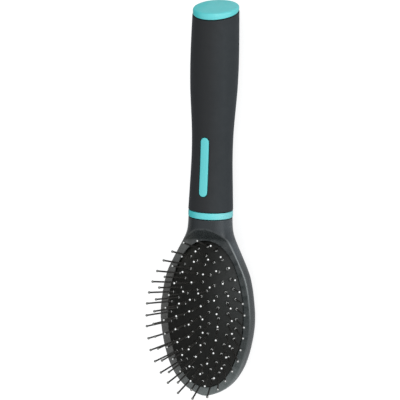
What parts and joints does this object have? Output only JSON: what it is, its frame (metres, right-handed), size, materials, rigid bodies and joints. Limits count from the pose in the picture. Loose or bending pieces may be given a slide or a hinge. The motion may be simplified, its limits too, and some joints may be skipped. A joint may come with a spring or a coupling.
{
  "type": "pet grooming pin brush",
  "caption": "Oval pneumatic pin brush for pets: ball-tipped metal pins in a domed rubber cushion, slate head, soft dark grip, turquoise collar, inlay bar and slanted end cap.",
  "frame": {"origin": "centre of the flat resting patch on the back of the head, under the middle of the pad", "axes": "+Y along the handle towards the end cap, +Z the way the pins point, +X across the head"},
  "size_m": [0.0572, 0.2095, 0.0385],
  "materials": {
    "head_plastic": "semi-gloss moulded slate grey plastic",
    "accent_plastic": "satin moulded turquoise plastic",
    "grip_rubber": "soft-touch matt charcoal",
    "pad_rubber": "smooth black rubber with a low sheen",
    "pin_steel": "polished drawn steel wire with rounded ball tips"
  },
  "bodies": {
    "brush": {"brush_head": "head_plastic", "collar_ring": "accent_plastic", "grip_sleeve": "grip_rubber", "inlay_bar": "accent_plastic", "end_cap": "accent_plastic"},
    "cushion": {"cushion_pad": "pad_rubber"},
    "bank_ring1_top": {"pins_ring1_top": "pin_steel"},
    "bank_ring1_upper_right": {"pins_ring1_upper_right": "pin_steel"},
    "bank_ring1_upper_left": {"pins_ring1_upper_left": "pin_steel"},
    "bank_ring1_side_right": {"pins_ring1_side_right": "pin_steel"},
    "bank_ring1_side_left": {"pins_ring1_side_left": "pin_steel"},
    "bank_ring1_lower_right": {"pins_ring1_lower_right": "pin_steel"},
    "bank_ring1_lower_left": {"pins_ring1_lower_left": "pin_steel"},
    "bank_ring1_bottom": {"pins_ring1_bottom": "pin_steel"},
    "bank_ring2_top": {"pins_ring2_top": "pin_steel"},
    "bank_ring2_upper_right": {"pins_ring2_upper_right": "pin_steel"},
    "bank_ring2_upper_left": {"pins_ring2_upper_left": "pin_steel"},
    "bank_ring2_lower_right": {"pins_ring2_lower_right": "pin_steel"},
    "bank_ring2_lower_left": {"pins_ring2_lower_left": "pin_steel"},
    "bank_ring2_bottom": {"pins_ring2_bottom": "pin_steel"},
    "bank_ring3_top": {"pins_ring3_top": "pin_steel"},
    "bank_ring3_upper_right": {"pins_ring3_upper_right": "pin_steel"},
    "bank_ring3_upper_left": {"pins_ring3_upper_left": "pin_steel"},
    "bank_ring3_lower_right": {"pins_ring3_lower_right": "pin_steel"},
    "bank_ring3_lower_left": {"pins_ring3_lower_left": "pin_steel"},
    "bank_ring3_bottom": {"pins_ring3_bottom": "pin_steel"},
    "bank_ring4_top": {"pins_ring4_top": "pin_steel"},
    "bank_ring4_side_right": {"pins_ring4_side_right": "pin_steel"},
    "bank_ring4_side_left": {"pins_ring4_side_left": "pin_steel"},
    "bank_ring4_bottom": {"pins_ring4_bottom": "pin_steel"},
    "bank_ring5_row": {"pins_ring5_row": "pin_steel"}
  },
  "joints": [
    {"name": "pad_press", "type": "slide", "parent": "brush", "child": "cushion", "axis": [0, 0, -1], "range_m": [0, 0.0025], "stiffness_N_per_m": 1500},
    {"name": "lean_ring1_top", "type": "hinge", "parent": "cushion", "child": "bank_ring1_top", "pos_m": [0, 0.03791, 0.0149], "axis": [-1, 0, 0], "range_deg": [-10, 8], "stiffness_Nm_per_rad": 0.004},
    {"name": "lean_ring1_upper_right", "type": "hinge", "parent": "cushion", "child": "bank_ring1_upper_right", "pos_m": [0.01257, 0.02601, 0.01655], "axis": [-0.4416, 0.8931, -0.0862], "range_deg": [-10, 10], "stiffness_Nm_per_rad": 0.004},
    {"name": "lean_ring1_upper_left", "type": "hinge", "parent": "cushion", "child": "bank_ring1_upper_left", "pos_m": [-0.01257, 0.02601, 0.01655], "axis": [-0.4416, -0.8931, 0.0862], "range_deg": [-10, 10], "stiffness_Nm_per_rad": 0.004},
    {"name": "lean_ring1_side_right", "type": "hinge", "parent": "cushion", "child": "bank_ring1_side_right", "pos_m": [0.0176, 0.00299, 0.01784], "axis": [0.0111, 0.9993, -0.0345], "range_deg": [-10, 10], "stiffness_Nm_per_rad": 0.004},
    {"name": "lean_ring1_side_left", "type": "hinge", "parent": "cushion", "child": "bank_ring1_side_left", "pos_m": [-0.0176, 0.00299, 0.01784], "axis": [0.0111, -0.9993, 0.0345], "range_deg": [-10, 10], "stiffness_Nm_per_rad": 0.004},
    {"name": "lean_ring1_lower_right", "type": "hinge", "parent": "cushion", "child": "bank_ring1_lower_right", "pos_m": [0.01283, -0.01992, 0.01787], "axis": [0.452, 0.8917, 0.0244], "range_deg": [-10, 10], "stiffness_Nm_per_rad": 0.004},
    {"name": "lean_ring1_lower_left", "type": "hinge", "parent": "cushion", "child": "bank_ring1_lower_left", "pos_m": [-0.01283, -0.01992, 0.01787], "axis": [0.452, -0.8917, -0.0244], "range_deg": [-10, 10], "stiffness_Nm_per_rad": 0.004},
    {"name": "lean_ring1_bottom", "type": "hinge", "parent": "cushion", "child": "bank_ring1_bottom", "pos_m": [0, -0.03131, 0.01712], "axis": [1, 0, 0], "range_deg": [-10, 10], "stiffness_Nm_per_rad": 0.004},
    {"name": "lean_ring2_top", "type": "hinge", "parent": "cushion", "child": "bank_ring2_top", "pos_m": [0, 0.03242, 0.01681], "axis": [-1, 0, 0], "range_deg": [-10, 10], "stiffness_Nm_per_rad": 0.004},
    {"name": "lean_ring2_upper_right", "type": "hinge", "parent": "cushion", "child": "bank_ring2_upper_right", "pos_m": [0.01154, 0.0165, 0.01877], "axis": [-0.283, 0.9563, -0.0734], "range_deg": [-10, 10], "stiffness_Nm_per_rad": 0.004},
    {"name": "lean_ring2_upper_left", "type": "hinge", "parent": "cushion", "child": "bank_ring2_upper_left", "pos_m": [-0.01154, 0.0165, 0.01877], "axis": [-0.283, -0.9563, 0.0734], "range_deg": [-10, 10], "stiffness_Nm_per_rad": 0.004},
    {"name": "lean_ring2_lower_right", "type": "hinge", "parent": "cushion", "child": "bank_ring2_lower_right", "pos_m": [0.01179, -0.01066, 0.0195], "axis": [0.2702, 0.9626, 0.0192], "range_deg": [-10, 10], "stiffness_Nm_per_rad": 0.004},
    {"name": "lean_ring2_lower_left", "type": "hinge", "parent": "cushion", "child": "bank_ring2_lower_left", "pos_m": [-0.01179, -0.01066, 0.0195], "axis": [0.2702, -0.9626, -0.0192], "range_deg": [-10, 10], "stiffness_Nm_per_rad": 0.004},
    {"name": "lean_ring2_bottom", "type": "hinge", "parent": "cushion", "child": "bank_ring2_bottom", "pos_m": [0, -0.02604, 0.01865], "axis": [1, 0, 0], "range_deg": [-10, 10], "stiffness_Nm_per_rad": 0.004},
    {"name": "lean_ring3_top", "type": "hinge", "parent": "cushion", "child": "bank_ring3_top", "pos_m": [0, 0.02664, 0.01856], "axis": [-1, 0, 0], "range_deg": [-10, 10], "stiffness_Nm_per_rad": 0.004},
    {"name": "lean_ring3_upper_right", "type": "hinge", "parent": "cushion", "child": "bank_ring3_upper_right", "pos_m": [0.00816, 0.01144, 0.02047], "axis": [-0.1923, 0.9788, -0.071], "range_deg": [-10, 10], "stiffness_Nm_per_rad": 0.004},
    {"name": "lean_ring3_upper_left", "type": "hinge", "parent": "cushion", "child": "bank_ring3_upper_left", "pos_m": [-0.00816, 0.01144, 0.02047], "axis": [-0.1923, -0.9788, 0.071], "range_deg": [-10, 10], "stiffness_Nm_per_rad": 0.004},
    {"name": "lean_ring3_lower_right", "type": "hinge", "parent": "cushion", "child": "bank_ring3_lower_right", "pos_m": [0.00779, -0.00862, 0.02093], "axis": [0.2535, 0.9669, 0.03], "range_deg": [-10, 10], "stiffness_Nm_per_rad": 0.004},
    {"name": "lean_ring3_lower_left", "type": "hinge", "parent": "cushion", "child": "bank_ring3_lower_left", "pos_m": [-0.00779, -0.00862, 0.02093], "axis": [0.2535, -0.9669, -0.03], "range_deg": [-10, 10], "stiffness_Nm_per_rad": 0.004},
    {"name": "lean_ring3_bottom", "type": "hinge", "parent": "cushion", "child": "bank_ring3_bottom", "pos_m": [0, -0.02058, 0.01999], "axis": [1, 0, 0], "range_deg": [-10, 10], "stiffness_Nm_per_rad": 0.004},
    {"name": "lean_ring4_top", "type": "hinge", "parent": "cushion", "child": "bank_ring4_top", "pos_m": [0, 0.01826, 0.02047], "axis": [-1, 0, 0], "range_deg": [-10, 10], "stiffness_Nm_per_rad": 0.004},
    {"name": "lean_ring4_side_right", "type": "hinge", "parent": "cushion", "child": "bank_ring4_side_right", "pos_m": [0.00428, 0.00299, 0.02172], "axis": [-0.0188, 0.9994, -0.0276], "range_deg": [-10, 10], "stiffness_Nm_per_rad": 0.004},
    {"name": "lean_ring4_side_left", "type": "hinge", "parent": "cushion", "child": "bank_ring4_side_left", "pos_m": [-0.00428, 0.00299, 0.02172], "axis": [-0.0188, -0.9994, 0.0276], "range_deg": [-10, 10], "stiffness_Nm_per_rad": 0.004},
    {"name": "lean_ring4_bottom", "type": "hinge", "parent": "cushion", "child": "bank_ring4_bottom", "pos_m": [0, -0.01274, 0.02133], "axis": [0, 0.9931, 0.1174], "range_deg": [-10, 10], "stiffness_Nm_per_rad": 0.004},
    {"name": "lean_ring5_row", "type": "hinge", "parent": "cushion", "child": "bank_ring5_row", "pos_m": [0, 0.00304, 0.02186], "axis": [0, 0.9996, -0.0288], "range_deg": [-10, 10], "stiffness_Nm_per_rad": 0.004}
  ]
}
